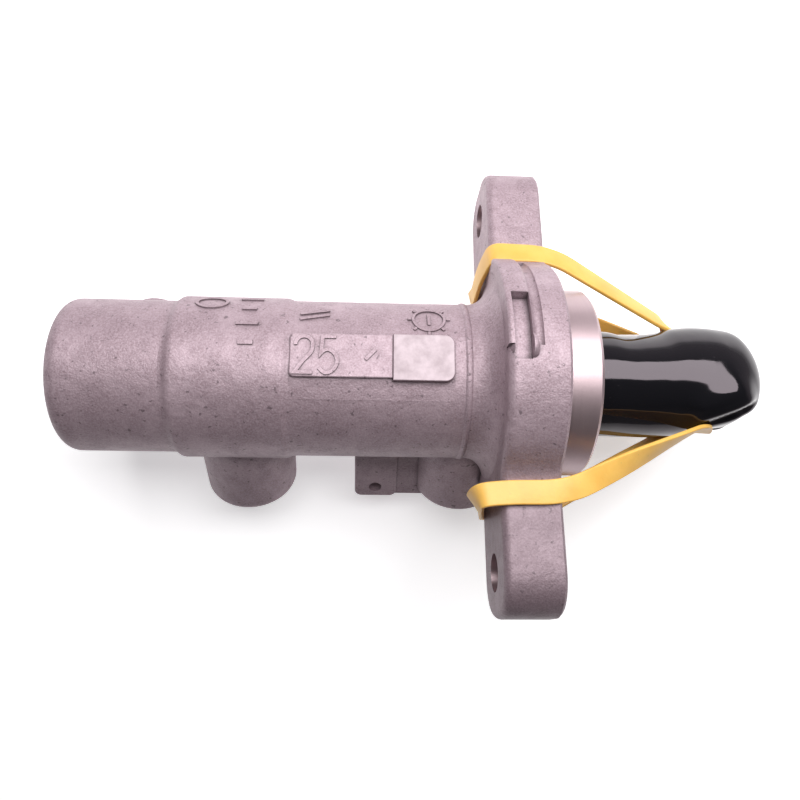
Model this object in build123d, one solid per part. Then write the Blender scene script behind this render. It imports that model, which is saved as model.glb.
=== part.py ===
from build123d import *
from math import cos, radians, sin
import os

# A tandem brake master cylinder with its transport cap and rubber band, lying as it rests on a
# bench. X runs along the bore towards the open, piston end. The origin is on the bore axis in the
# plane of the mounting face. Angles around the bore are counted from +Y towards +Z.

UPWARD = (Align.CENTER, Align.CENTER, Align.MIN)

# ---- Driving dimensions, mm and degrees ----
BORE_R = 12.5
BORE_END_X = -112.0
CLOSED_END_X = -118.0
EAR_ANGLE = -25.2
RESERVOIR_ANGLE = 216.5
OUTLET_ANGLE = RESERVOIR_ANGLE + 90
LABEL_ANGLE = 69.2

# Barrel: three turned lengths that swell into the flange
NOSE_R, NOSE_END_X = 18.9, -90.3
COLLAR_R, COLLAR_END_X = 20.1, -63.4
BARREL_R = 19.5
SHOULDER, SHOULDER_ROUND = 0.8, 2.2
NOSE_ROUND = 3.6
FLARE_LENGTH, FLARE_RISE = 5.6, 8.0
CORE_R = BORE_R + 2
BEAD_X, BEAD_R = -21.0, 1.1

# Flange: a disc with two opposite ears
FLANGE_T = 13.9
DISC_R = 30.1
EAR_TIP = 58.3
EAR_HALF = 13.0
EAR_CORNER = 9.5
EAR_BLEND = 8.0
STUD_SPACING = 95.7
STUD_HOLE_R = 4.5
EDGE_ROUND = 2.0
FACE_CHAMFER = 0.7
PILOT_R, PILOT_L, PILOT_CHAMFER = 23.7, 9.2, 0.8

# Rib, knuckle and pocket on the flange's rim, between the ears
RIM_SIDE_ANGLE = EAR_ANGLE + 90
RIB_X = (-14.2, -8.6)
RIB_OUT_R = 31.1
KNUCKLE_ANGLE, KNUCKLE_X, KNUCKLE_R, KNUCKLE_RISE = 69.5, -10.6, 3.1, 0.9
RIB_START_ANGLE = EAR_ANGLE + 31
POCKET_X = (-12.9, -8.9)
POCKET_ANGLES = (44.5, 75.5)
POCKET_DEPTH = 1.3
VALLEY_X, VALLEY_R = -7.4, 1.3

# Reservoir bosses, with the wells that their grommets sit in
BOSS_X = (-76.6, -18.2)
BOSS_BASE_R, BOSS_TIP_R, BOSS_TIP = 13.0, 12.3, 38.1
BOSS_ROUND = 2.4
WELL_R, WELL_FLOOR = 8.6, 25.0
NIPPLE_R, NIPPLE_LEAD = 5.8, 0.8
FEED_R = 2.5

# Lug for the reservoir's cross pin
LUG_X = (-47.4, -35.6)
LUG_TOP = 40.0
LUG_SIDES = (-4.5, 5.0)
LUG_HOLE_X, LUG_HOLE_TOP, LUG_HOLE_R = -41.6, 36.0, 1.75

# Pads on the barrel's side
PAD_WIDTH = 10.5
LABEL_X, LABEL_TOP = (-62.3, -38.6), 19.8
GROUND_X, GROUND_TOP = (-38.7, -24.5), 20.2
FACET_DROP = 0.7
FACET_FOOT = (-9.8, 16.9)
DIGIT_W, DIGIT_H, STROKE = 4.0, 8.6, 0.8
RELIEF = 0.35

# Outlets
OUTLET_X = (-48.5, -101.0)
OUTLET_FACE, OUTLET_BOSS_R = 22.5, 8.5
OUTLET_R, OUTLET_DEPTH = 5.5, 9.5

# Mouth: guide bush, wiper seal, washer and ring in one counterbore
MOUTH_R, MOUTH_FLOOR_X, MOUTH_CHAMFER = 17.0, -5.0, 0.7
BUSH_X, WIPER_X = (-5.0, 1.5), (1.5, 5.2)
WASHER_X, RING_X = (5.2, 6.6), (6.7, 8.0)
RING_GROOVE_R = 17.9
FIT = 0.02

# Seals that stay in the bore, and the widened lengths between them
SEAL_X = {
    "primary_rear_seal": -10.25,
    "primary_pressure_seal": -24.3,
    "secondary_rear_seal": -68.7,
    "secondary_pressure_seal": -82.8,
}
SEAL_W = 3.5
SEAL_OUT_R = 16.0
RELIEF_R = 13.3
CHAMBER_1_X, CHAMBER_2_X = (-64.5, -29.0), (-109.0, -87.0)
FEED_GALLERY_HALF = 3.6

# Pistons
PISTON_R = 12.45
SKIRT_IN_R = 9.5
PRIMARY_X, PRIMARY_POCKET_X = (-30.0, 38.0), -12.0
PUSH_ROD_R, PUSH_ROD_DEPTH = 6.4, 24.0
SECONDARY_X, SECONDARY_POCKET_X = (-92.0, -48.5), -70.0
RECESS_R, RECESS_END_X = 5.4, -66.0
BLEED_HOLE_R, BLEED_HOLES = 0.8, 6

# Caged primary spring
CUP_FLANGE_R, CUP_R, CUP_WALL = 9.1, 5.0, 0.8
CUP_END_X = -39.0
SCREW_R, SCREW_HEAD_R, SCREW_HEAD_T = 2.0, 3.9, 2.5
SCREW_END_X = -4.0
WIRE_R = 0.95
SPRING_R = 8.1
PRIMARY_TURNS, SECONDARY_TURNS = 5.5, 7.5
END_GAP = 0.15

# Protective cap, a dipped vinyl sleeve
CAP_START_X, CAP_END_X = 9.6, 55.4
CAP_R, CAP_IN_R = 13.65, 12.8
CAP_TIP_X, CAP_TIP_R, CAP_TIP_LIFT = 37.0, 13.9, 0.9
CAP_TIP_IN_R, CAP_TIP_ROUND = 12.1, 8.5
CAP_HOLLOW_END_X = CAP_END_X - 2.8

# Rubber band
BAND_W, BAND_T = 5.6, 1.1
BAND_GAP = 0.5
BAND_SIDE_GAP = 1.2
BAND_EAR = 31.0


def radial(angle):
    """Unit vector away from the bore axis at an angle."""
    return Vector(0, cos(radians(angle)), sin(radians(angle)))


def outward(angle, x=0.0):
    """Plane on the axis that faces outwards at an angle, with its own X along the bore."""
    return Plane(origin=(x, 0, 0), x_dir=(1, 0, 0), z_dir=radial(angle))


def endways(angle, x):
    """Plane across the bore at x, facing +X, with its own X outwards at an angle."""
    return Plane(origin=(x, 0, 0), x_dir=radial(angle), z_dir=(1, 0, 0))


def turned(points, rounds=()):
    """Solid of revolution about the bore axis from its (x, radius) corners, some of them rounded."""
    outline = make_face(Polyline(*points, close=True))
    for corner, radius in rounds:
        nearest = outline.vertices().sort_by_distance((*corner, 0))[0]
        outline = fillet(nearest, radius)
    return revolve(outline, Axis.X)


def ring(x0, x1, inner, outer):
    """Plain ring about the bore axis."""
    return turned([(x0, inner), (x1, inner), (x1, outer), (x0, outer)])


def rod(x0, x1, radius):
    """Plain round bar on the bore axis."""
    return turned([(x0, 0), (x1, 0), (x1, radius), (x0, radius)])


def spanned(x, y, z):
    """Box from its low and high limits on each axis."""
    sizes = [b - a for a, b in (x, y, z)]
    middle = [(a + b) / 2 for a, b in (x, y, z)]
    return Pos(*middle) * Box(*sizes)


# ---- Cast housing ----

def barrel():
    """Closed nose, wider collar and barrel, up to the flange."""
    slope = SHOULDER
    points = [
        (CLOSED_END_X, 0),
        (CLOSED_END_X, NOSE_R),
        (NOSE_END_X - slope, NOSE_R),
        (NOSE_END_X + slope, COLLAR_R),
        (COLLAR_END_X - slope, COLLAR_R),
        (COLLAR_END_X + slope, BARREL_R),
        (-FLANGE_T / 2, BARREL_R),
        (-FLANGE_T / 2, 0),
    ]
    rounds = [(points[1], NOSE_ROUND)] + [(p, SHOULDER_ROUND) for p in points[2:6]]
    return turned(points, rounds)


def flare():
    """Swelling between the barrel and the flange, with the bead at its foot."""
    foot = (-FLANGE_T - FLARE_LENGTH, BARREL_R)
    brim = (-FLANGE_T + 0.5, BARREL_R + FLARE_RISE)
    curve = Bezier(foot, (brim[0] - 0.8, foot[1] + 0.6), brim)
    back = Polyline(brim, (brim[0], CORE_R), (foot[0], CORE_R), foot)
    bead = Pos(BEAD_X, 0, 0) * Rot(0, 90, 0) * Torus(BARREL_R - BEAD_R + 0.35, BEAD_R)
    return revolve(make_face([curve, back]), Axis.X) + bead


def flange():
    """Disc and ears, rounded at the back and lightly chamfered at the machined face."""
    outline = Circle(DISC_R) + RectangleRounded(2 * EAR_TIP, 2 * EAR_HALF, EAR_CORNER)
    creases = outline.vertices().filter_by(lambda v: abs(v.X) < DISC_R)
    outline = fillet(creases, EAR_BLEND)
    plate = extrude(endways(EAR_ANGLE, -FLANGE_T) * outline, FLANGE_T)
    plate = fillet(plate.faces().sort_by(Axis.X)[0].edges(), EDGE_ROUND)
    return chamfer(plate.faces().sort_by(Axis.X)[-1].edges(), FACE_CHAMFER)


def pilot():
    """Turned spigot that centres the cylinder in its booster."""
    root_x = -FLANGE_T / 2
    return turned([(root_x, 0), (PILOT_L, 0), (PILOT_L, PILOT_R - PILOT_CHAMFER),
                   (PILOT_L - PILOT_CHAMFER, PILOT_R), (root_x, PILOT_R)])


def sector(x0, x1, inner, outer, from_angle, to_angle):
    """Part of a ring between two angles."""
    face = make_face(Polyline((x0, inner), (x1, inner), (x1, outer), (x0, outer), close=True))
    return Rot(from_angle, 0, 0) * revolve(face, Axis.X, to_angle - from_angle)


def rim_rib():
    """Rib along the rim from the upper ear, ending in a rounded knuckle."""
    rib = sector(*RIB_X, DISC_R - 3, RIB_OUT_R, RIB_START_ANGLE, KNUCKLE_ANGLE)
    rib = fillet(rib.edges().filter_by(lambda e: e.length > 2 * KNUCKLE_R), 0.8)
    place = outward(KNUCKLE_ANGLE, KNUCKLE_X) * Pos(0, 0, RIB_OUT_R - KNUCKLE_R + KNUCKLE_RISE)
    shoulder = place * Rot(0, 90, 0) * Cylinder(KNUCKLE_R, KNUCKLE_R)
    shoulder = fillet(shoulder.edges(), 1.2)
    return rib + place * Sphere(KNUCKLE_R) + Pos(KNUCKLE_R / 2, 0, 0) * shoulder


def rim_pocket():
    """Shallow pocket below the knuckle, and the valley beside the rib."""
    pocket = sector(*POCKET_X, DISC_R - POCKET_DEPTH, DISC_R + 2, *POCKET_ANGLES)
    face = Pos(VALLEY_X, DISC_R + VALLEY_R * 0.35) * Circle(VALLEY_R)
    valley = Rot(RIB_START_ANGLE, 0, 0) * revolve(face, Axis.X, KNUCKLE_ANGLE - RIB_START_ANGLE)
    return pocket + valley


def reservoir_boss(x):
    """Tapered boss with a rounded end."""
    stub = Cone(BOSS_BASE_R, BOSS_TIP_R, BOSS_TIP, align=UPWARD)
    stub = fillet(stub.edges().sort_by(Axis.Z)[-1], BOSS_ROUND)
    return outward(RESERVOIR_ANGLE, x) * stub


def reservoir_well(x):
    """Well for the grommet, and the feed hole down to the bore."""
    well = Pos(0, 0, WELL_FLOOR) * Cylinder(WELL_R, 20, align=UPWARD)
    well = fillet(well.edges().sort_by(Axis.Z)[0], 0.6)
    feed = Pos(0, 0, BORE_R - 2) * Cylinder(FEED_R, 20, align=UPWARD)
    return outward(RESERVOIR_ANGLE, x) * (well + feed)


def pin_lug():
    """Lug with the cross-pin hole, and the web that joins it to the rear boss."""
    lug = spanned(LUG_X, LUG_SIDES, (BORE_R + 3, LUG_TOP))
    outer = lug.edges().filter_by(Axis.Y).group_by(Axis.Z)[-1]
    lug = fillet(outer, 2.0)
    lug = fillet(lug.faces().sort_by(Axis.Y)[-1].edges(), 0.6)
    web_top, web_side = LUG_TOP - 0.7, LUG_SIDES[1] - 0.6
    web = spanned((LUG_X[1] - 3, BOSS_X[1]), (-web_side + 1, web_side), (BORE_R + 3, web_top))
    web = fillet(web.edges().filter_by(Axis.Y).group_by(Axis.Z)[-1].sort_by(Axis.X)[-1], 8)
    hole = Pos(LUG_HOLE_X, 0, LUG_HOLE_TOP) * Rot(90, 0, 0) * Cylinder(LUG_HOLE_R, 30)
    return outward(RESERVOIR_ANGLE) * (lug + web - hole)


def outlet_boss(x):
    """Spot-faced round boss for a brake pipe union."""
    stub = Cylinder(OUTLET_BOSS_R, OUTLET_FACE, align=UPWARD)
    stub = chamfer(stub.edges().sort_by(Axis.Z)[-1], 0.8)
    return outward(OUTLET_ANGLE, x) * stub


def outlet_hole(x):
    """Threaded outlet down to a narrow passage into its chamber."""
    thread = Pos(0, 0, OUTLET_FACE - OUTLET_DEPTH) * Cylinder(OUTLET_R, OUTLET_DEPTH + 1, align=UPWARD)
    mouth = Pos(0, 0, OUTLET_FACE - 0.6) * Cone(OUTLET_R - 0.1, OUTLET_R + 0.9, 1.0, align=UPWARD)
    passage = Pos(0, 0, BORE_R - 1) * Cylinder(1.6, OUTLET_FACE - BORE_R, align=UPWARD)
    return outward(OUTLET_ANGLE, x) * (thread + mouth + passage)


def side_pads():
    """Label pad, ground pad and the facet under both, on one side of the barrel."""
    half, base = PAD_WIDTH / 2, BORE_R + 2
    label = spanned(LABEL_X, (-half, half), (base, LABEL_TOP))
    label = fillet(label.edges().filter_by(Axis.Z).group_by(Axis.X)[0], 1.2)
    label = fillet(label.faces().sort_by(Axis.Z)[-1].edges(), 0.35)
    ground = spanned(GROUND_X, (-half - 0.6, half), (base, GROUND_TOP))
    ground = fillet(ground.edges().filter_by(Axis.Z).group_by(Axis.X)[-1], 2.2)
    ground = fillet(ground.faces().sort_by(Axis.Z)[-1].edges(), 0.25)
    facet_edge = (-half + 0.1, LABEL_TOP - FACET_DROP)
    profile = [(-half + 0.1, base), facet_edge, FACET_FOOT, (FACET_FOOT[0], base)]
    section = make_face(Plane.YZ * Polyline(*profile, close=True))
    facet = Pos(LABEL_X[0], 0, 0) * extrude(section, GROUND_X[1] - LABEL_X[0])
    return outward(LABEL_ANGLE) * (label + ground + facet)


def bore_number():
    """The bore size, 25, and a short tally mark, raised on the label pad."""
    w, h = DIGIT_W, DIGIT_H
    two = [
        ThreePointArc((0.1, 0.76 * h), (w / 2, h), (w, 0.74 * h)),
        Spline((w, 0.74 * h), (0.55 * w, 0.36 * h), (0, 0), tangents=((0, -1), (-0.7, -1))),
        Line((0, 0), (w, 0)),
    ]
    five = [
        Line((0.92 * w, h), (0.16 * w, h)),
        Line((0.16 * w, h), (0.08 * w, 0.54 * h)),
        Spline((0.08 * w, 0.54 * h), (0.55 * w, 0.63 * h), (w, 0.32 * h), (0.5 * w, 0), (0, 0.13 * h)),
    ]
    tally = [Line((0, 0), (2.3, 2.5))]
    marks = Pos(-61.0, -DIGIT_H / 2) * trace(two, STROKE)
    marks += Pos(-55.4, -DIGIT_H / 2) * trace(five, STROKE)
    marks += Pos(-45.0, -1.0) * trace(tally, STROKE)
    return extrude(outward(LABEL_ANGLE) * Pos(0, 0, LABEL_TOP - 0.3) * marks, RELIEF + 0.3)


def relief_on(radius, angle, x, marks):
    """Flat marks raised on a round surface, standing RELIEF proud of it."""
    block = extrude(outward(angle, x) * Pos(0, 0, radius - 4) * marks, 8)
    shell = ring(x - 12, x + 12, radius - 1, radius + RELIEF)
    return block & shell


def casting_marks():
    """Plain foundry marks: a tally strip and an oval on the collar, strokes and a date ring beyond."""
    marks = relief_on(COLLAR_R, 24, -81.5, Ellipse(4.0, 3.0) - Ellipse(3.2, 2.2))
    for step in range(4):
        bar = Rectangle(5.2, 1.1) if step % 2 else Rectangle(3.4, 1.1)
        marks += relief_on(COLLAR_R, 62 - 15 * step, -72.3, bar)
    stroke = Rot(0, 0, 14) * Rectangle(7.0, 0.8)
    marks += relief_on(BARREL_R, 38, -57.0, stroke + Pos(0, 1.9) * stroke)
    date = Circle(4.0) - Circle(3.4) + Rectangle(0.7, 4.0)
    for step in range(8):
        date += Rot(0, 0, 45 * step) * Pos(4.6, 0) * Rectangle(0.9, 0.6)
    return marks + relief_on(BARREL_R, 38, -30.2, date)


def bore_cuts():
    """The bore with its closed end, mouth, seal grooves and widened chambers."""
    cuts = rod(BORE_END_X, PILOT_L + 1, BORE_R)
    cuts += rod(MOUTH_FLOOR_X, PILOT_L + 1, MOUTH_R)
    cuts += rod(RING_X[0] - 0.05, RING_X[1] + 0.05, RING_GROOVE_R)
    cuts += turned([(PILOT_L - MOUTH_CHAMFER, 0), (PILOT_L + 1, 0),
                    (PILOT_L + 1, MOUTH_R + MOUTH_CHAMFER + 1), (PILOT_L - MOUTH_CHAMFER, MOUTH_R)])
    for x in SEAL_X.values():
        cuts += rod(x - SEAL_W / 2, x + SEAL_W / 2, SEAL_OUT_R)
    for span in (CHAMBER_1_X, CHAMBER_2_X):
        cuts += rod(*span, RELIEF_R)
    for x in BOSS_X:
        cuts += rod(x - FEED_GALLERY_HALF, x + FEED_GALLERY_HALF, RELIEF_R)
    return cuts


def stud_holes():
    """One hole through each ear."""
    drill = Rot(0, 90, 0) * Cylinder(STUD_HOLE_R, 3 * FLANGE_T)
    return Part() + [Pos(radial(EAR_ANGLE) * (side * STUD_SPACING / 2)) * drill for side in (1, -1)]


def cylinder_body():
    """The whole machined casting."""
    body = barrel() + flare() + flange() + pilot()
    for x in BOSS_X:
        body += reservoir_boss(x)
    body += pin_lug()
    for x in OUTLET_X:
        body += outlet_boss(x)
    body += side_pads()
    body += rim_rib()
    body += bore_number()
    body += casting_marks()
    body -= rim_pocket()
    body -= bore_cuts()
    for x in BOSS_X:
        body -= reservoir_well(x)
    for x in OUTLET_X:
        body -= outlet_hole(x)
    return body - stud_holes()


# ---- Fittings in the mouth and on the bosses ----

def guide_bush():
    """Bush that carries the primary piston, with a bleed groove on its face."""
    bush = ring(*BUSH_X, BORE_R, MOUTH_R - FIT)
    return bush - ring(BUSH_X[1] - 0.6, BUSH_X[1] + 1, 14.2, 15.4)


def wiper_seal():
    """Rubber wiper with two lips towards the piston."""
    x0, x1 = WIPER_X
    points = [(x0, 14.4), (x0, MOUTH_R - FIT), (x1, MOUTH_R - FIT), (x1, 13.6), (x1 - 0.7, BORE_R),
              (x1 - 1.3, 13.3), (x0 + 1.3, 13.3), (x0 + 0.7, BORE_R)]
    return turned(points)


def stop_washer():
    """Flat steel washer that holds the wiper in."""
    return ring(*WASHER_X, BORE_R + 0.4, MOUTH_R - FIT)


def circlip():
    """Internal retaining ring with two eyes and a gap between them."""
    clip = ring(*RING_X, 15.4, RING_GROOVE_R - 0.05)
    up = outward(90, (RING_X[0] + RING_X[1]) / 2)
    clip -= up * Pos(0, 0, 17) * Box(5, 5.5, 6)
    for side in (1, -1):
        spot = up * Pos(0, side * 4.6, 14.9) * Rot(0, 90, 0)
        clip += spot * Cylinder(1.5, RING_X[1] - RING_X[0])
        clip -= spot * Cylinder(0.75, 5)
    return clip


def bore_seal(x):
    """Lip seal that stays in its groove and wipes the piston."""
    x0, x1 = x - SEAL_W / 2 + 0.05, x + SEAL_W / 2 - 0.05
    out, lip = SEAL_OUT_R - FIT, BORE_R
    points = [(x0, out - 0.9), (x0 + 0.6, out), (x1, out), (x1, lip + 0.1), (x1 - 0.9, lip),
              (x1 - 1.3, lip + 1.3), (x0 + 0.8, lip), (x0, lip + 0.5), (x0 + 0.9, 14.3)]
    return turned(points)


def reservoir_grommet(x):
    """Rubber grommet that the reservoir's nipple pushes into."""
    low, high = WELL_FLOOR + 0.1, BOSS_TIP - 0.7
    inner, outer = NIPPLE_R, WELL_R - FIT
    waist = outer - 0.5
    outline = [(inner, low), (waist, low), (outer, low + 1), (outer, low + 3), (waist, low + 4),
               (waist, high - 4), (outer, high - 3), (outer, high),
               (inner + NIPPLE_LEAD, high), (inner, high - NIPPLE_LEAD)]
    face = make_face(Plane.XZ * Polyline(*outline, close=True))
    return outward(RESERVOIR_ANGLE, x) * revolve(face, Axis.Z)


def secondary_spring_seat():
    """Steel dish that centres the front spring on the closed end."""
    x = BORE_END_X
    return turned([(x, 3), (x + 0.9, 3), (x + 0.9, 6.2), (x + 3.2, 6.2), (x + 3.2, 7.0), (x + 0.9, 7.0),
                   (x + 0.9, 11.2), (x, 11.2)])


# ---- Pistons and the caged spring ----

def bleed_holes(x):
    """Ring of small holes through a piston's skirt."""
    holes = [outward(360 / BLEED_HOLES * i, x) * Pos(0, 0, PISTON_R) * Cylinder(BLEED_HOLE_R, 10)
             for i in range(BLEED_HOLES)]
    return Part() + holes


def plunger(x0, x1):
    """Solid piston blank with rounded ends."""
    corners = [(x0, 0), (x0, PISTON_R), (x1, PISTON_R), (x1, 0)]
    return turned(corners, [(corners[1], 1.2), (corners[2], 1.0)])


def primary_piston():
    """Long plunger: hollow towards the chamber, with the push-rod socket at the other end."""
    x0, x1 = PRIMARY_X
    socket_x = x1 - PUSH_ROD_DEPTH
    piston = plunger(x0, x1) - rod(x0 - 1, PRIMARY_POCKET_X, SKIRT_IN_R)
    piston -= rod(PRIMARY_POCKET_X - 1, SCREW_END_X, SCREW_R + FIT)
    piston -= turned([(socket_x, 0), (socket_x + 3, PUSH_ROD_R), (x1 - 1, PUSH_ROD_R),
                      (x1 + 1, PUSH_ROD_R + 2), (x1 + 1, 0)])
    return piston - bleed_holes(-21.3)


def push_rod_cup():
    """Hardened cup at the bottom of the push-rod socket."""
    x = PRIMARY_X[1] - PUSH_ROD_DEPTH
    cup = turned([(x + 3.05, 0), (x + 3.05, PUSH_ROD_R - FIT), (x + 9, PUSH_ROD_R - FIT), (x + 9, 0)])
    return cup - Pos(x + 10, 0, 0) * Sphere(5.2)


def cage_screw():
    """Shouldered screw that holds the cage together at the spring's rest length."""
    head_x = CUP_END_X - CUP_WALL - 0.1
    screw = rod(head_x, SCREW_END_X - 0.2, SCREW_R)
    screw += rod(head_x - SCREW_HEAD_T, head_x, SCREW_HEAD_R)
    slot = Pos(head_x - SCREW_HEAD_T, 0, 0) * Box(1.4, 1.1, 3 * SCREW_HEAD_R)
    return screw - slot


def rear_spring_seat():
    """Flat washer under the primary spring, clamped by the screw."""
    return ring(PRIMARY_POCKET_X - 0.9, PRIMARY_POCKET_X - FIT, SCREW_R + 0.1, SKIRT_IN_R - 0.2)


def secondary_piston():
    """Floating plunger, hollow towards the closed end and recessed towards the primary piston."""
    x0, x1 = SECONDARY_X
    piston = plunger(x0, x1) - rod(x0 - 1, SECONDARY_POCKET_X, SKIRT_IN_R)
    piston -= rod(RECESS_END_X, x1 + 1, RECESS_R)
    return piston - bleed_holes(-79.7)


def cage_cup():
    """Pressed cup on the secondary piston that catches the screw's head."""
    x0, x1 = SECONDARY_X[1] + FIT, CUP_END_X
    inner, hole = CUP_R - CUP_WALL, SCREW_R + 0.35
    points = [(x0, inner), (x1 - CUP_WALL, inner), (x1 - CUP_WALL, hole), (x1, hole), (x1, CUP_R),
              (x0 + CUP_WALL, CUP_R), (x0 + CUP_WALL, CUP_FLANGE_R), (x0, CUP_FLANGE_R)]
    return turned(points, [((x1, CUP_R), 0.6)])


def coil(x0, x1, turns):
    """Coil spring between two seats, its ends closed by the wire lying flat."""
    length = x1 - x0 - 2 * WIRE_R - 2 * END_GAP
    path = Helix(pitch=length / turns, height=length, radius=SPRING_R)
    section = Plane(origin=path @ 0, z_dir=path % 0) * Circle(WIRE_R)
    wire = sweep(section, path=path)
    return Pos(x0 + WIRE_R + END_GAP, 0, 0) * Rot(0, 90, 0) * wire


# ---- Transport cap and rubber band ----

def protective_cap():
    """Hollow vinyl cap over the piston, its swollen tip lifted a little."""
    sleeve = ring(CAP_START_X, CAP_TIP_X + 6, CAP_IN_R, CAP_R)
    tip = turned([(CAP_TIP_X, 0), (CAP_TIP_X, CAP_TIP_R), (CAP_END_X, CAP_TIP_R), (CAP_END_X, 0)],
                 [((CAP_TIP_X, CAP_TIP_R), 1.2), ((CAP_END_X, CAP_TIP_R), CAP_TIP_ROUND)])
    narrow_x = CAP_TIP_X + 4
    hollow = turned([(CAP_START_X - 1, 0), (CAP_START_X - 1, CAP_IN_R), (narrow_x, CAP_IN_R),
                     (narrow_x, CAP_TIP_IN_R), (CAP_HOLLOW_END_X, CAP_TIP_IN_R), (CAP_HOLLOW_END_X, 0)],
                    [((CAP_HOLLOW_END_X, CAP_TIP_IN_R), CAP_TIP_ROUND)])
    return sleeve + Pos(0, CAP_TIP_LIFT, 0) * tip - hollow


def band_stations():
    """Centre line of the band as (point, outward direction), once round the loop."""
    side, back = EAR_HALF + BAND_SIDE_GAP + BAND_T / 2, -FLANGE_T - BAND_GAP - BAND_T / 2
    along, across = radial(EAR_ANGLE), radial(RIM_SIDE_ANGLE)
    left, right = Vector(-1, 0, 0), Vector(1, 0, 0)

    def at(x, ear, n):
        return Vector(x, 0, 0) + along * ear + across * n

    s = BAND_EAR
    upper = [
        (at(3.5, s, side), across),
        (at(back + 1.0, s, side), across),
        (at(back, s, side - 1.0), left),
        (at(back - 1.6, s - 1.0, 0), left),
        (at(back, s, -side + 1.0), left),
        (at(back + 1.0, s, -side), across * -1),
        (at(3.5, s, -side), across * -1),
    ]
    over = CAP_TIP_R + CAP_TIP_LIFT + BAND_GAP + BAND_T / 2
    end_x = CAP_END_X + BAND_GAP + BAND_T / 2
    far_cap = [(Vector(x, 0, 0) + radial(a) * (over + 0.4), radial(a))
               for x, a in ((37.0, -62), (40.0, -84), (42.5, -106), (44.0, -128), (44.0, -150))]
    lower = [(at(x, -ear, n), out) for (x, ear, n), out in (
        ((3.5, s, -side), across * -1),
        ((back + 1.0, s, -side), across * -1),
        ((back, s, -side + 1.0), left),
        ((back - 1.6, s + 1.0, 0), left),
        ((back, s, side - 1.0), left),
        ((back + 1.0, s, side), across),
        ((3.5, s, side), across),
    )]
    notch = [(Vector(x, 0, 0) + radial(a) * r, out) for x, a, r, out in (
        (CAP_END_X - 12.2, 142, over, radial(142)),
        (CAP_END_X - 6.2, 155, over, radial(155)),
        (CAP_END_X - 1.2, 172, over - 2.3, radial(172) + right),
        (end_x, -170, 8.0, right),
        (end_x, -100, 7.0, right),
        (CAP_END_X - 1.2, -62, over - 2.3, radial(-62) + right),
        (CAP_END_X - 7.2, -40, over + 0.4, radial(-40)),
        (CAP_END_X - 13.6, -16, over + 1.6, radial(-16)),
    )]
    return upper + far_cap + lower + notch


def rubber_band():
    """Flat closed band, as straight lengths that overlap at its bends."""
    stations = band_stations()
    strap = Part()
    for (start, out_a), (end, out_b) in zip(stations, stations[1:] + stations[:1]):
        run = end - start
        normal = out_a + out_b
        normal = normal - run * (normal.dot(run) / run.dot(run))
        place = Plane(origin=(start + end) / 2, x_dir=run, z_dir=normal)
        strap += place * Box(run.length + BAND_T, BAND_W, BAND_T)
    return strap


def write(name, shape):
    """One STEP file per named piece."""
    shape.label = name
    export_step(shape, f"parts/{name}.step")


os.makedirs("parts", exist_ok=True)
write("cylinder_body", cylinder_body())
write("guide_bush", guide_bush())
write("wiper_seal", wiper_seal())
write("stop_washer", stop_washer())
write("circlip", circlip())
for seal_name, seal_x in SEAL_X.items():
    write(seal_name, bore_seal(seal_x))
write("front_grommet", reservoir_grommet(BOSS_X[0]))
write("rear_grommet", reservoir_grommet(BOSS_X[1]))
write("secondary_spring_seat", secondary_spring_seat())
write("primary_piston", primary_piston())
write("push_rod_cup", push_rod_cup())
write("cage_screw", cage_screw())
write("rear_spring_seat", rear_spring_seat())
write("secondary_piston", secondary_piston())
write("cage_cup", cage_cup())
write("primary_spring", coil(SECONDARY_X[1] + CUP_WALL, PRIMARY_POCKET_X - 0.9, PRIMARY_TURNS))
write("secondary_spring", coil(BORE_END_X + 0.9, SECONDARY_POCKET_X, SECONDARY_TURNS))
write("protective_cap", protective_cap())
write("rubber_band", rubber_band())
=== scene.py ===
import math
import bmesh
import bpy
import numpy as np
from mathutils import Euler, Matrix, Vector


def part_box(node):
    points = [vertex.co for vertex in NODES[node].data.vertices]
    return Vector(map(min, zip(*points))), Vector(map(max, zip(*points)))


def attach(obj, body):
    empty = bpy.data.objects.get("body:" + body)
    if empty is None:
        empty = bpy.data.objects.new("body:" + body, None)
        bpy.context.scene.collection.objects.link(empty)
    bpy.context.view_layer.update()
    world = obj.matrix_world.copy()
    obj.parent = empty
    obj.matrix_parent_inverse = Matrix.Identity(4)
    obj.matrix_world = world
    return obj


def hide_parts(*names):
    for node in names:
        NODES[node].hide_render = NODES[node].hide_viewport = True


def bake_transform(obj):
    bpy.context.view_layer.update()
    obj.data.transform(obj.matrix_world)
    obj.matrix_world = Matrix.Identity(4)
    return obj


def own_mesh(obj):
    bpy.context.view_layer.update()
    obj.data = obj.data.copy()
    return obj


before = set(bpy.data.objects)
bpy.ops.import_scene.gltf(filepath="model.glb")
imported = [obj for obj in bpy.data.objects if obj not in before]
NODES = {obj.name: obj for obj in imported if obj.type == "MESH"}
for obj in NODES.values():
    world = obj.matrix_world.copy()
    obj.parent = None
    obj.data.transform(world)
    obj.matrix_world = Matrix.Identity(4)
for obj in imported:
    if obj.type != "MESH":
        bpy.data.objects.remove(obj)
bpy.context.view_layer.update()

# Brake master cylinder with its transport cap and rubber band, lying on a pale bench.
# Lengths are in metres in the CAD frame: X along the bore to the open end, Z up, angles from +Y
# towards +Z round the bore.

MM = 0.001

# ---- Places taken from the design ----
EAR_ANGLE = -25.2
SIDE_ANGLE = EAR_ANGLE + 90
LABEL_ANGLE = 69.2
GROUND_PLANE = 20.2 * MM
GROUND_X = (-39 * MM, -24 * MM)
STUD_REACH, STUD_MOUTH = 47.85 * MM, 4.6 * MM
INNER_REACH = 18 * MM
BODY_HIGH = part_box("cylinder_body")[1]
FLOOR_Z = min(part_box(name)[0].z for name in ("cylinder_body", "front_grommet"))

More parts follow.
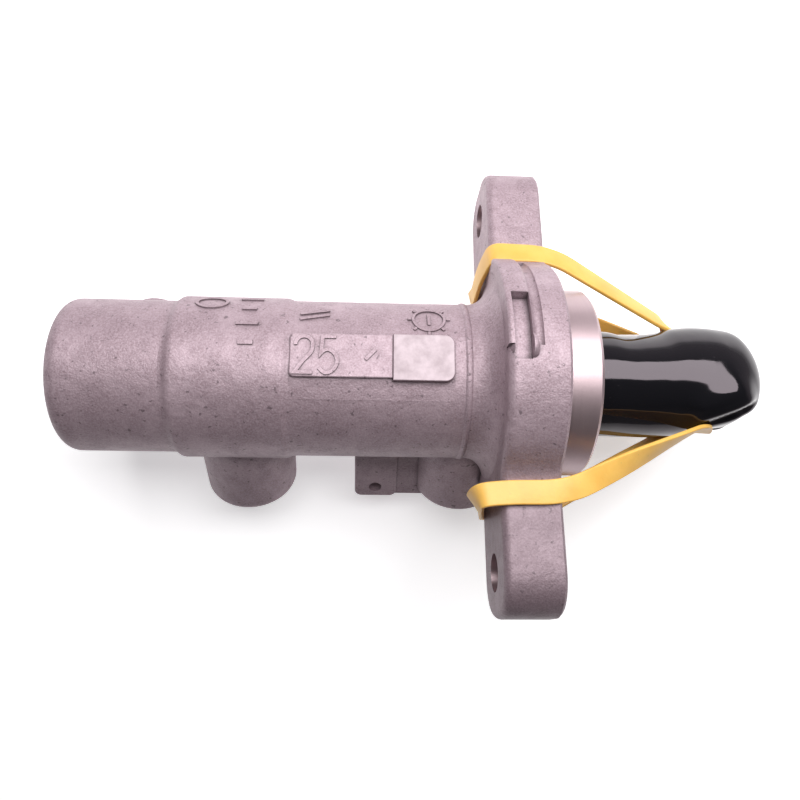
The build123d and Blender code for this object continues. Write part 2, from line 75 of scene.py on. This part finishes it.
# Painted shade: the casting's colour is darkened towards the end of the lower ear: where it starts, where it
# is full, how much
LOWER_EAR_SHADE = (20 * MM, 34 * MM, 0.5)

# ---- Camera and light levels ----
CAMERA_PLACE = (-45.13 * MM, 14.47 * MM, 179.48 * MM)
CAMERA_TURN = (-6.263, -2.787, 1.270)
CAMERA_LENS = 31.736
KEY_ANGLE, KEY_DISTANCE, KEY_SIZE, KEY_X = 56, 0.31, (0.40, 0.24), 0.02
KEY_RADIANCE = 6.6
WORLD_STRENGTH = 0.42
WORLD_STOPS = ((0.0, (0.95, 0.88, 0.93, 1)), (0.38, (0.62, 0.57, 0.61, 1)), (0.62, (0.10, 0.095, 0.10, 1)))
FLOOR_GLOW, FLOOR_REACH = 0.5, 3.0


def radial(angle):
    """Unit vector away from the bore axis."""
    return Vector((0, math.cos(math.radians(angle)), math.sin(math.radians(angle))))


# ---- Camera, lights and floor ----

def add_camera():
    data = bpy.data.cameras.new("camera")
    data.sensor_width = 36
    data.lens = CAMERA_LENS
    data.clip_start, data.clip_end = 0.005, 20
    camera = bpy.data.objects.new("camera", data)
    camera.location = CAMERA_PLACE
    camera.rotation_euler = Euler([math.radians(a) for a in CAMERA_TURN])
    bpy.context.scene.collection.objects.link(camera)
    bpy.context.scene.camera = camera


def add_softbox(name, angle, distance, size, radiance, x):
    """Rectangular light at an angle round the bore, facing it, as bright as its radiance says."""
    data = bpy.data.lights.new(name, "AREA")
    data.shape = "RECTANGLE"
    data.size, data.size_y = size
    data.energy = radiance * math.pi * size[0] * size[1]
    lamp = bpy.data.objects.new(name, data)
    lamp.location = radial(angle) * distance + Vector((x, 0, 0))
    lamp.rotation_euler = (math.radians(angle - 90), 0, 0)
    bpy.context.scene.collection.objects.link(lamp)


def add_world():
    """Pale near the horizon and dark overhead, darker towards -Y, as over a bench with paper round it."""
    world = bpy.data.worlds.new("studio")
    bpy.context.scene.world = world
    world.use_nodes = True
    tree = world.node_tree
    split = tree.nodes.new("ShaderNodeSeparateXYZ")
    ramp = tree.nodes.new("ShaderNodeValToRGB")
    tree.links.new(tree.nodes.new("ShaderNodeTexCoord").outputs["Generated"], split.inputs["Vector"])
    tree.links.new(split.outputs["Z"], ramp.inputs["Fac"])
    side = tree.nodes.new("ShaderNodeMapRange")
    for socket, value in (("From Min", -0.8), ("From Max", 0.3), ("To Min", 0.35), ("To Max", 1.0)):
        side.inputs[socket].default_value = value
    tree.links.new(split.outputs["Y"], side.inputs["Value"])
    shade = tree.nodes.new("ShaderNodeVectorMath")
    shade.operation = "SCALE"
    tree.links.new(ramp.outputs["Color"], shade.inputs[0])
    tree.links.new(side.outputs["Result"], shade.inputs["Scale"])
    tree.links.new(shade.outputs["Vector"], tree.nodes["Background"].inputs["Color"])
    ramp.color_ramp.elements.new(0.5)
    for element, (place, colour) in zip(ramp.color_ramp.elements, WORLD_STOPS):
        element.position = place
        element.color = colour
    tree.nodes["Background"].inputs["Strength"].default_value = WORLD_STRENGTH


def add_studio():
    scene = bpy.context.scene
    scene.view_settings.view_transform = "Standard"
    add_world()
    add_softbox("key_softbox", KEY_ANGLE, KEY_DISTANCE, KEY_SIZE, KEY_RADIANCE, KEY_X)

    mesh = bpy.data.meshes.new("floor")
    reach = FLOOR_REACH
    z = FLOOR_Z - 0.1 * MM
    mesh.from_pydata([(-reach, -reach, z), (reach, -reach, z), (reach, reach, z), (-reach, reach, z)],
                     [], [(0, 1, 2, 3)])
    floor = bpy.data.objects.new("floor", mesh)
    paper = plain("floor_paper", (0.93, 0.925, 0.93), 0.9)
    shader = paper.node_tree.nodes["Principled BSDF"]
    shader.inputs["Emission Color"].default_value = (1, 0.99, 1, 1)
    shader.inputs["Emission Strength"].default_value = FLOOR_GLOW
    mesh.materials.append(paper)
    scene.collection.objects.link(floor)


# ---- Material helpers ----

class Shader:
    """A Principled material with small helpers to add procedural detail in the object's own space."""

    def __init__(self, name, colour, roughness, metallic=0.0):
        self.material = bpy.data.materials.new(name)
        self.material.use_nodes = True
        self.tree = self.material.node_tree
        self.shader = self.tree.nodes["Principled BSDF"]
        self.set("Base Color", (*colour, 1))
        self.set("Roughness", roughness)
        self.set("Metallic", metallic)
        self.space = self.tree.nodes.new("ShaderNodeTexCoord").outputs["Object"]

    def set(self, socket, value):
        self.shader.inputs[socket].default_value = value

    def link(self, source, target):
        self.tree.links.new(source, target)

    def node(self, kind, **settings):
        made = self.tree.nodes.new(kind)
        for key, value in settings.items():
            setattr(made, key, value)
        return made

    def stretched(self, scale):
        """Object coordinates scaled unevenly, for grain with a direction."""
        mapping = self.node("ShaderNodeMapping")
        mapping.inputs["Scale"].default_value = scale
        self.link(self.space, mapping.inputs["Vector"])
        return mapping.outputs["Vector"]

    def noise(self, size, detail=3.0, roughness=0.5, space=None, distortion=0.0):
        """Noise whose features are about size metres across."""
        made = self.node("ShaderNodeTexNoise")
        made.inputs["Scale"].default_value = 1 / size
        made.inputs["Detail"].default_value = detail
        made.inputs["Roughness"].default_value = roughness
        made.inputs["Distortion"].default_value = distortion
        self.link(space or self.space, made.inputs["Vector"])
        return made.outputs["Fac"]

    def ramp(self, value, *stops):
        """Colour ramp through (position, colour) stops."""
        made = self.node("ShaderNodeValToRGB")
        elements = made.color_ramp.elements
        while len(elements) < len(stops):
            elements.new(0.5)
        for element, (position, colour) in zip(elements, stops):
            element.position = position
            element.color = (*colour, 1) if len(colour) == 3 else colour
        self.link(value, made.inputs["Fac"])
        return made.outputs["Color"]

    def mix(self, factor, a, b, kind="MIX"):
        """Mix of two colours or colour sockets."""
        made = self.node("ShaderNodeMix", data_type="RGBA", blend_type=kind)
        for source, target in ((factor, made.inputs[0]), (a, made.inputs[6]), (b, made.inputs[7])):
            if isinstance(source, bpy.types.NodeSocket):
                self.link(source, target)
            elif isinstance(source, (int, float)):
                target.default_value = source
            else:
                target.default_value = (*source, 1)
        return made.outputs[2]

    def spread(self, value, low, high):
        """Value from 0..1 mapped to low..high."""
        made = self.node("ShaderNodeMapRange")
        made.inputs["To Min"].default_value = low
        made.inputs["To Max"].default_value = high
        self.link(value, made.inputs["Value"])
        return made.outputs["Result"]

    def beyond(self, direction, start, end, most):
        """0 up to start metres out along a direction, rising to most at end."""
        reach = self.node("ShaderNodeVectorMath", operation="DOT_PRODUCT")
        reach.inputs[1].default_value = direction
        self.link(self.space, reach.inputs[0])
        made = self.node("ShaderNodeMapRange")
        for socket, value in (("From Min", start), ("From Max", end), ("To Max", most)):
            made.inputs[socket].default_value = value
        self.link(reach.outputs["Value"], made.inputs["Value"])
        return made.outputs["Result"]

    def bump(self, *layers):
        """Stacked bump layers of (height socket, depth in metres)."""
        normal = None
        for height, depth in layers:
            made = self.node("ShaderNodeBump")
            made.inputs["Strength"].default_value = 1.0
            made.inputs["Distance"].default_value = depth
            self.link(height, made.inputs["Height"])
            if normal is not None:
                self.link(normal, made.inputs["Normal"])
            normal = made.outputs["Normal"]
        self.link(normal, self.shader.inputs["Normal"])

    def painted_crease_shade(self, reach):
        """Painted shade: up to 0.8 where the surface is closed in within reach, such as beside raised marks,
        for darkening the colour there.
        """
        occlusion = self.node("ShaderNodeAmbientOcclusion", samples=6, only_local=True)
        occlusion.inputs["Distance"].default_value = reach
        return self.ramp(occlusion.outputs["AO"], (0.45, (0.8,) * 3), (0.92, (0.0,) * 3))


def plain(name, colour, roughness):
    """Quiet stage material with a trace of grain."""
    shade = Shader(name, colour, roughness)
    shade.bump((shade.noise(0.004), 0.00002))
    return shade.material


def cast_aluminium():
    """Shot-blasted casting: mauve grey, mottled, with fine grain and small dark pits; painted shade darkens
    its creases and the end of the lower ear.
    """
    shade = Shader("cast_aluminium", (0.5, 0.45, 0.48), 0.5, 0.35)
    clouds = shade.noise(0.016, 4, 0.6)
    blotches = shade.noise(0.0045, 4, 0.6, distortion=0.4)
    grain = shade.noise(0.00045, 3, 0.7)
    pits = shade.noise(0.0012, 2, 0.5)
    base = shade.ramp(clouds, (0.32, (0.265, 0.188, 0.213)), (0.68, (0.365, 0.270, 0.304)))
    dull = shade.ramp(blotches, (0.40, (0.0,) * 3), (0.62, (0.75,) * 3))
    base = shade.mix(dull, base, (0.235, 0.164, 0.187))
    bright = shade.ramp(grain, (0.38, (0.0,) * 3), (0.66, (0.55,) * 3))
    base = shade.mix(bright, base, (0.48, 0.375, 0.42))
    dark = shade.ramp(pits, (0.66, (0.0,) * 3), (0.72, (0.65,) * 3))
    base = shade.mix(dark, base, (0.09, 0.065, 0.075))
    # Painted shade: the colour is darkened in creases and beside raised marks, from ambient occlusion
    base = shade.mix(shade.painted_crease_shade(1.4 * MM), base, (0.085, 0.065, 0.072))
    # Painted shade: the casting's colour darkens towards the end of the lower ear
    base = shade.mix(shade.beyond(radial(EAR_ANGLE) * -1, *LOWER_EAR_SHADE), base, (0.115, 0.082, 0.094))
    shade.link(base, shade.shader.inputs["Base Color"])
    shade.link(shade.spread(blotches, 0.42, 0.62), shade.shader.inputs["Roughness"])
    shade.bump((grain, 0.00009), (blotches, 0.00022), (shade.noise(0.0016, 2), 0.00008))
    return shade.material


def turned_aluminium():
    """Turned face: mauve-grey satin with faint rings round the bore."""
    shade = Shader("turned_aluminium", (0.56, 0.48, 0.505), 0.4, 0.9)
    rings = shade.noise(0.0004, 2, 0.6, shade.stretched((1, 0.02, 0.02)))
    patches = shade.noise(0.006, 3, 0.5)
    tint = shade.mix(patches, (0.41, 0.31, 0.33), (0.49, 0.38, 0.40))
    tint = shade.mix(shade.spread(rings, 0.0, 0.2), tint, (0.36, 0.27, 0.29))
    shade.link(tint, shade.shader.inputs["Base Color"])
    shade.link(shade.spread(rings, 0.34, 0.44), shade.shader.inputs["Roughness"])
    shade.set("Anisotropic", 0.5)
    shade.bump((rings, 0.000006))
    return shade.material


def ground_aluminium():
    """Milled pad: pale, faintly blotchy, with a fine cross grain."""
    shade = Shader("ground_aluminium", (0.5, 0.42, 0.45), 0.5, 0.15)
    blotches = shade.noise(0.0035, 4, 0.6)
    grain = shade.noise(0.0003, 2, 0.6, shade.stretched((1, 0.12, 0.12)))
    tint = shade.ramp(blotches, (0.32, (0.30, 0.235, 0.255)), (0.62, (0.46, 0.375, 0.405)))
    shade.link(tint, shade.shader.inputs["Base Color"])
    shade.link(shade.spread(blotches, 0.46, 0.60), shade.shader.inputs["Roughness"])
    shade.bump((grain, 0.00002), (blotches, 0.00006))
    return shade.material


def smooth_metal(name, colour, roughness, metallic=1.0, scratch=0.000008):
    """Plated, anodised or oiled metal with faint handling marks."""
    shade = Shader(name, colour, roughness, metallic)
    stains = shade.noise(0.005, 4, 0.6)
    lines = shade.noise(0.0005, 3, 0.6, shade.stretched((1, 0.1, 0.1)))
    darker = tuple(c * 0.72 for c in colour)
    shade.link(shade.mix(stains, darker, colour), shade.shader.inputs["Base Color"])
    shade.link(shade.spread(lines, roughness * 0.7, roughness * 1.35), shade.shader.inputs["Roughness"])
    shade.bump((lines, scratch))
    return shade.material


def seal_rubber():
    """Moulded black rubber with a dry bloom."""
    shade = Shader("seal_rubber", (0.025, 0.025, 0.027), 0.55)
    bloom = shade.noise(0.004, 4, 0.6)
    tint = shade.ramp(bloom, (0.35, (0.016,) * 3), (0.75, (0.045,) * 3))
    shade.link(tint, shade.shader.inputs["Base Color"])
    shade.link(shade.spread(bloom, 0.45, 0.65), shade.shader.inputs["Roughness"])
    shade.bump((shade.noise(0.0003, 2), 0.00001))
    return shade.material


def black_vinyl():
    """Dipped vinyl: deep black and glossy, with slow waves and a few specks of dust."""
    shade = Shader("black_vinyl", (0.006, 0.006, 0.007), 0.07)
    shade.set("Specular IOR Level", 0.5)
    shade.set("Specular Tint", (1, 0.86, 0.94, 1))
    waves = shade.noise(0.009, 2, 0.4)
    dust = shade.ramp(shade.noise(0.0006, 1, 0.5), (0.80, (0.0,) * 3), (0.83, (1.0,) * 3))
    shade.link(shade.mix(dust, (0.006, 0.006, 0.0075), (0.10, 0.09, 0.10)), shade.shader.inputs["Base Color"])
    shade.link(shade.spread(shade.noise(0.004, 3), 0.05, 0.11), shade.shader.inputs["Roughness"])
    shade.bump((waves, 0.00018))
    return shade.material


def yellow_rubber():
    """Natural rubber band: warm yellow, slightly translucent, with fine lengthwise marks."""
    shade = Shader("yellow_rubber", (0.83, 0.58, 0.17), 0.42)
    clouds = shade.noise(0.007, 3, 0.5)
    specks = shade.noise(0.0008, 2, 0.5)
    tint = shade.ramp(clouds, (0.30, (0.68, 0.38, 0.075)), (0.70, (0.78, 0.47, 0.11)))
    tint = shade.mix(shade.ramp(specks, (0.68, (0.0,) * 3), (0.75, (0.5,) * 3)), tint, (0.52, 0.36, 0.10))
    shade.link(tint, shade.shader.inputs["Base Color"])
    shade.link(shade.spread(clouds, 0.35, 0.50), shade.shader.inputs["Roughness"])
    shade.set("Subsurface Weight", 0.15)
    shade.set("Subsurface Radius", (0.004, 0.002, 0.0006))
    shade.set("Subsurface Scale", 0.5)
    shade.bump((specks, 0.00003))
    return shade.material


MATERIALS = {
    "cast": cast_aluminium(),
    "turned": turned_aluminium(),
    "ground": ground_aluminium(),
    "anodised": smooth_metal("anodised_aluminium", (0.62, 0.62, 0.64), 0.32, 0.85),
    "bush": smooth_metal("bush_plastic", (0.22, 0.17, 0.11), 0.5, 0.0),
    "zinc": smooth_metal("zinc_steel", (0.70, 0.68, 0.60), 0.3),
    "spring": smooth_metal("spring_steel", (0.36, 0.36, 0.38), 0.3),
    "seal": seal_rubber(),
    "vinyl": black_vinyl(),
    "band": yellow_rubber(),
}

NODE_MATERIALS = {
    "guide_bush": "bush", "wiper_seal": "seal", "stop_washer": "zinc", "circlip": "spring",
    "primary_rear_seal": "seal", "primary_pressure_seal": "seal", "secondary_rear_seal": "seal",
    "secondary_pressure_seal": "seal", "front_grommet": "seal", "rear_grommet": "seal",
    "secondary_spring_seat": "zinc", "secondary_spring": "spring", "primary_spring": "spring",
    "primary_piston": "anodised", "secondary_piston": "anodised", "push_rod_cup": "spring",
    "cage_screw": "zinc", "rear_spring_seat": "zinc", "cage_cup": "zinc", "protective_cap": "vinyl",
    "rubber_band": "band",
}


def machined_kind(centre, normal):
    """Which finish a face of the casting has: turned, ground or cast."""
    distance = math.hypot(centre.y, centre.z)
    along_ear = abs(centre.dot(radial(EAR_ANGLE)))
    out = centre.dot(radial(LABEL_ANGLE))
    if centre.x > -0.2 * MM:
        return "turned"
    inwards = normal.dot(Vector((0, centre.y, centre.z))) < 0
    if distance < INNER_REACH and centre.x < BODY_HIGH.x and inwards:
        return "turned"
    if along_ear > 40 * MM and abs(normal.x) < 0.3 and abs(along_ear - STUD_REACH) < STUD_MOUTH \
            and abs(centre.dot(radial(SIDE_ANGLE))) < STUD_MOUTH:
        return "turned"
    if out > GROUND_PLANE - 0.3 * MM and normal.dot(radial(LABEL_ANGLE)) > 0.9 \
            and GROUND_X[0] < centre.x < GROUND_X[1]:
        return "ground"
    return "cast"


def dress_casting():
    """Cast, turned and ground finishes on the one casting, face by face."""
    body = NODES["cylinder_body"].data
    kinds = ["cast", "turned", "ground"]
    body.materials.clear()
    for kind in kinds:
        body.materials.append(MATERIALS[kind])
    for face in body.polygons:
        face.material_index = kinds.index(machined_kind(face.center, face.normal))


def dress_nodes():
    for name, kind in NODE_MATERIALS.items():
        data = NODES[name].data
        data.materials.clear()
        data.materials.append(MATERIALS[kind])


# ---- Vinyl cap, rubber band and springs, which replace their plain CAD stand-ins ----

# Outline of the cap seen along Z: its +Y edge, its -Y edge, and half its depth at the same stations
CAP_TOP = [(9.6, 13.5), (16, 13.5), (20.5, 12.7), (24.6, 12.9), (29.3, 13.4), (33.5, 14.5), (38.5, 15.0),
           (44, 14.8), (49.5, 13.7), (53.2, 10.2), (55.0, 5.8), (55.6, 0.3)]
CAP_BOTTOM = [(9.6, -13.5), (16, -13.6), (22, -13.7), (28, -13.7), (34, -13.3), (39, -12.4), (44, -11.8),
              (48.5, -11.0), (51.4, -8.6), (53.8, -5.8), (55.2, -2.8), (55.6, 0.3)]
CAP_DEPTH = [13.5, 13.4, 13.3, 13.3, 13.4, 13.6, 13.6, 13.2, 11.6, 8.8, 5.0, 0.0]
CAP_INNER = 12.9
FOLD_START, FOLD_END = (35.5, -9.6), (52.0, -2.0)
FOLD_DROP, FOLD_ROLL, FOLD_LIP, FOLD_SHOULDER = 2.8, 0.6, 1.1, 1.2

BAND_WIDTH, BAND_THICKNESS, BAND_CORNER = 5.6, 1.1, 0.35

WIRE_R, SPRING_R = 0.95, 8.1


def spline(points, count):
    """Smooth curve through points, as count samples."""
    p = np.array(points, float)
    t = np.linspace(0, len(p) - 1, count)
    i = np.minimum(np.floor(t).astype(int), len(p) - 2)
    f = (t - i)[:, None]
    a, b, c, d = (p[np.clip(i + k, 0, len(p) - 1)] for k in (-1, 0, 1, 2))
    return 0.5 * (2 * b + (c - a) * f + (2 * a - 5 * b + 4 * c - d) * f ** 2
                  + (3 * b - a - 3 * c + d) * f ** 3)


def ease(value, start, end):
    """0 before start, 1 after end, smooth between."""
    t = np.clip((value - start) / (end - start), 0, 1)
    return t * t * (3 - 2 * t)


def tube_mesh(name, rings, closed, material):
    """Skin over rings of points in mm, each ring closed, the row of rings closed or capped."""
    rows, around = rings.shape[:2]
    faces = []
    for i in range(rows if closed else rows - 1):
        for j in range(around):
            a, b = i * around + j, i * around + (j + 1) % around
            c, d = (i + 1) % rows * around + (j + 1) % around, (i + 1) % rows * around + j
            faces.append((a, b, c, d))
    if not closed:
        faces.append(tuple(range(around))[::-1])
        faces.append(tuple((rows - 1) * around + j for j in range(around)))
    mesh = bpy.data.meshes.new(name)
    mesh.from_pydata((rings.reshape(-1, 3) * MM).tolist(), [], faces)
    mesh.validate()
    mesh.polygons.foreach_set("use_smooth", [True] * len(mesh.polygons))
    made = bpy.data.objects.new(name, mesh)
    mesh.materials.append(MATERIALS[material])
    bpy.context.scene.collection.objects.link(made)
    recalculate(mesh)
    return made


def recalculate(mesh):
    """Normals all pointing outwards."""
    work = bmesh.new()
    work.from_mesh(mesh)
    bmesh.ops.recalc_face_normals(work, faces=work.faces)
    work.to_mesh(mesh)
    work.free()


def folded(grid):
    """Presses the fold into the upper side of the tip, where the band bites into the vinyl."""
    start, end = np.array(FOLD_START), np.array(FOLD_END)
    length = np.linalg.norm(end - start)
    along = (end - start) / length
    across = np.array([-along[1], along[0]])
    s, d = (grid[..., :2] - start) @ along, (grid[..., :2] - start) @ across
    reach = ease(s, -1, 4) * (1 - ease(s, length - 4, length + 1)) * ease(grid[..., 2], 0.5, 4)
    shape = (FOLD_ROLL * np.exp(-(d - 0.9) ** 2) + FOLD_LIP * np.exp(-((d + 3.4) / 1.3) ** 2)
             + FOLD_SHOULDER * np.exp(-((d - 3.2) / 4) ** 2))
    grid[..., 2] += reach * (shape - FOLD_DROP * (1 - ease(d, -1.2, 0.1)))
    return grid


def vinyl_cap():
    """Cap as one skin: inside from the piston's end to the rim, then outside from the rim to the tip."""
    count, around = 150, 128
    top, bottom = spline(CAP_TOP, count), spline(CAP_BOTTOM, count)
    depth = spline([(d, 0) for d in CAP_DEPTH], count)[:, 0]
    turn = np.linspace(0, 2 * math.pi, around, endpoint=False)
    middle = np.stack([(top[:, 0] + bottom[:, 0]) / 2, np.full(count, top[-1, 1])], -1)
    grid = np.zeros((count, around, 3))
    for edge, side in ((top, np.clip(np.cos(turn), 0, 1)), (bottom, np.clip(-np.cos(turn), 0, 1))):
        reach = edge - middle
        plain_round = reach * (depth / np.maximum(np.linalg.norm(reach, axis=1), 0.1))[:, None]
        swelling = reach - plain_round
        share = side[None, :, None]
        grid[..., :2] += plain_round[:, None] * share + swelling[:, None] * share ** 3
    grid[..., :2] += middle[:, None]
    grid[..., 2] = np.maximum(depth, 0.02)[:, None] * np.sin(turn)
    grid = folded(grid)
    inside = np.zeros((3, around, 3))
    for ring, x in zip(inside, (38.6, 10.0, 9.6)):
        radius = CAP_INNER + (0.15 if x < 10 else 0)
        ring[:] = np.stack([np.full(around, x), radius * np.cos(turn), radius * np.sin(turn)], -1)
    cap = tube_mesh("vinyl_cap", np.concatenate([inside, grid]), False, "vinyl")
    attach(cap, "cap")
    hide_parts("protective_cap")


def rounded_loop(stations, spacing=0.8):
    """Closed path through (point, outward direction, corner setback) stations, with its corners rounded."""
    points = [np.array(p, float) for p, _, _ in stations]
    normals = [np.array(n, float) / np.linalg.norm(n) for _, n, _ in stations]
    total = len(points)
    lengths = [np.linalg.norm(points[(i + 1) % total] - points[i]) for i in range(total)]
    setbacks = [min(r, 0.48 * lengths[i - 1], 0.48 * lengths[i]) for i, (_, _, r) in enumerate(stations)]

    def partway(values, i, share):
        return values[i % total] + (values[(i + 1) % total] - values[i % total]) * share

    path, facing = [], []
    for i in range(total):
        before, after = 1 - setbacks[i] / lengths[i - 1], setbacks[i] / lengths[i]
        for values, out in ((points, path), (normals, facing)):
            t = np.linspace(0, 1, 13)[:, None]
            start, end = partway(values, i - 1, before), partway(values, i, after)
            out.append((1 - t) ** 2 * start + 2 * t * (1 - t) * values[i] + t ** 2 * end)
        stop = 1 - setbacks[(i + 1) % total] / lengths[i]
        steps = max(2, int((stop - after) * lengths[i] / spacing))
        shares = np.linspace(after, stop, steps + 1)[1:-1]
        path.append(np.array([partway(points, i, share) for share in shares]).reshape(-1, 3))
        facing.append(np.array([partway(normals, i, share) for share in shares]).reshape(-1, 3))
    return np.concatenate(path), np.concatenate(facing)


def ribbon(path, facing, width, thickness, corner):
    """Rings of a flat strip with rounded edges that follows a closed path."""
    along = np.roll(path, -1, 0) - np.roll(path, 1, 0)
    along /= np.linalg.norm(along, axis=1)[:, None]
    out = facing - along * (facing * along).sum(1)[:, None]
    out /= np.linalg.norm(out, axis=1)[:, None]
    side = np.cross(along, out)
    section = []
    for quarter, (sx, sy) in enumerate(((1, 1), (-1, 1), (-1, -1), (1, -1))):
        for angle in np.radians(90 * quarter + np.linspace(0, 90, 5)):
            section.append((sx * (width / 2 - corner) + corner * math.cos(angle),
                            sy * (thickness / 2 - corner) + corner * math.sin(angle)))
    section = np.array(section)
    return path[:, None] + side[:, None] * section[None, :, :1] + out[:, None] * section[None, :, 1:]


def band_stations():
    """Once round the band: near side of the upper ear, its back and far side, under the cap, the lower
    ear from its far side to its near side, the fold in the cap's tip, and under the cap again."""
    ear, near = np.array(radial(EAR_ANGLE)), np.array(radial(SIDE_ANGLE))
    back = np.array([-1.0, 0.0, 0.0])

    def on_ear(x, reach, side):
        return np.array([x, 0, 0]) + ear * reach + near * side

    def on_cap(x, angle, distance):
        return np.array([x, 0.5, 0]) + np.array(radial(angle)) * distance

    def facing(angle, backwards=0.0):
        return np.array(radial(angle)) + back * backwards

    upper = [
        (on_ear(1.5, 29.4, 14.0), facing(50), 6),
        (on_ear(-13.6, 29.6, 14.0), facing(58, 0.4), 2.5),
        (on_ear(-15.3, 28.0, 6.0), facing(60, 2.5), 4),
        (on_ear(-15.6, 26.2, -4.0), back, 4),
        (on_ear(-14.6, 29.5, -13.9), facing(-115, 0.7), 3),
        (on_ear(1.0, 30.5, -14.0), facing(-115), 5),
    ]
    under = [
        (on_cap(32.0, -52, 15.2), facing(-45), 5),
        (on_cap(36.5, -90, 15.6), facing(-90), 6),
        (on_cap(37.5, -125, 15.6), facing(-125), 6),
        (on_cap(36.0, -166, 14.9), facing(-166), 5),
    ]
    lower = [
        (on_ear(1.0, -30.2, -14.0), facing(-115), 5),
        (on_ear(-14.6, -30.4, -13.9), facing(-115, 0.7), 3),
        (on_ear(-16.0, -32.0, -2.0), back, 4),
        (on_ear(-19.4, -33.0, 8.0), facing(145, 1.2), 4),
        (on_ear(-19.0, -32.2, 13.8), facing(65, 0.8), 3),
        (on_ear(-12.5, -31.6, 14.0), facing(65), 4),
        (on_ear(1.0, -31.4, 14.0), facing(72), 6),
    ]
    tip = [
        ((39.0, -9.7, 9.0), facing(152), 2.5),
        ((42.6, -12.2, 1.0), facing(178), 4),
        (on_cap(45.0, -150, 14.2), facing(-150), 5),
        (on_cap(44.5, -100, 14.6), facing(-100), 6),
        (on_cap(40.5, -50, 15.2), facing(-50), 6),
        (on_cap(34.5, -14, 14.9), facing(30), 4),
    ]
    return upper + under + lower + tip


def stretched_band():
    """Rubber band that bends between the ears and the cap."""
    path, facing = rounded_loop(band_stations())
    rings = ribbon(path, facing, BAND_WIDTH, BAND_THICKNESS, BAND_CORNER)
    band = tube_mesh("stretched_band", rings, True, "band")
    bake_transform(band)
    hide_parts("rubber_band")


def spring(name, node, turns, body):
    """Wound spring in the place of its CAD coil, carried with the given body."""
    low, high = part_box(node)
    x0, x1 = low.x / MM + WIRE_R, high.x / MM - WIRE_R
    steps = int(turns * 40)
    turn = np.linspace(0, 2 * math.pi * turns, steps)
    centre = np.stack([np.linspace(x0, x1, steps), SPRING_R * np.cos(turn), SPRING_R * np.sin(turn)], -1)
    out = np.stack([np.zeros(steps), np.cos(turn), np.sin(turn)], -1)
    wire = np.linspace(0, 2 * math.pi, 16, endpoint=False)
    along_x = np.array([1.0, 0, 0])
    rings = centre[:, None] + WIRE_R * (np.cos(wire)[None, :, None] * out[:, None]
                                        + np.sin(wire)[None, :, None] * along_x)
    coil = tube_mesh(name, rings, False, "spring")
    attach(coil, body)
    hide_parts(node)
    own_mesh(coil)


add_camera()
add_studio()
dress_casting()
dress_nodes()
vinyl_cap()
stretched_band()
spring("primary_coil", "primary_spring", 5.5, "secondary")
spring("secondary_coil", "secondary_spring", 7.5, "root")
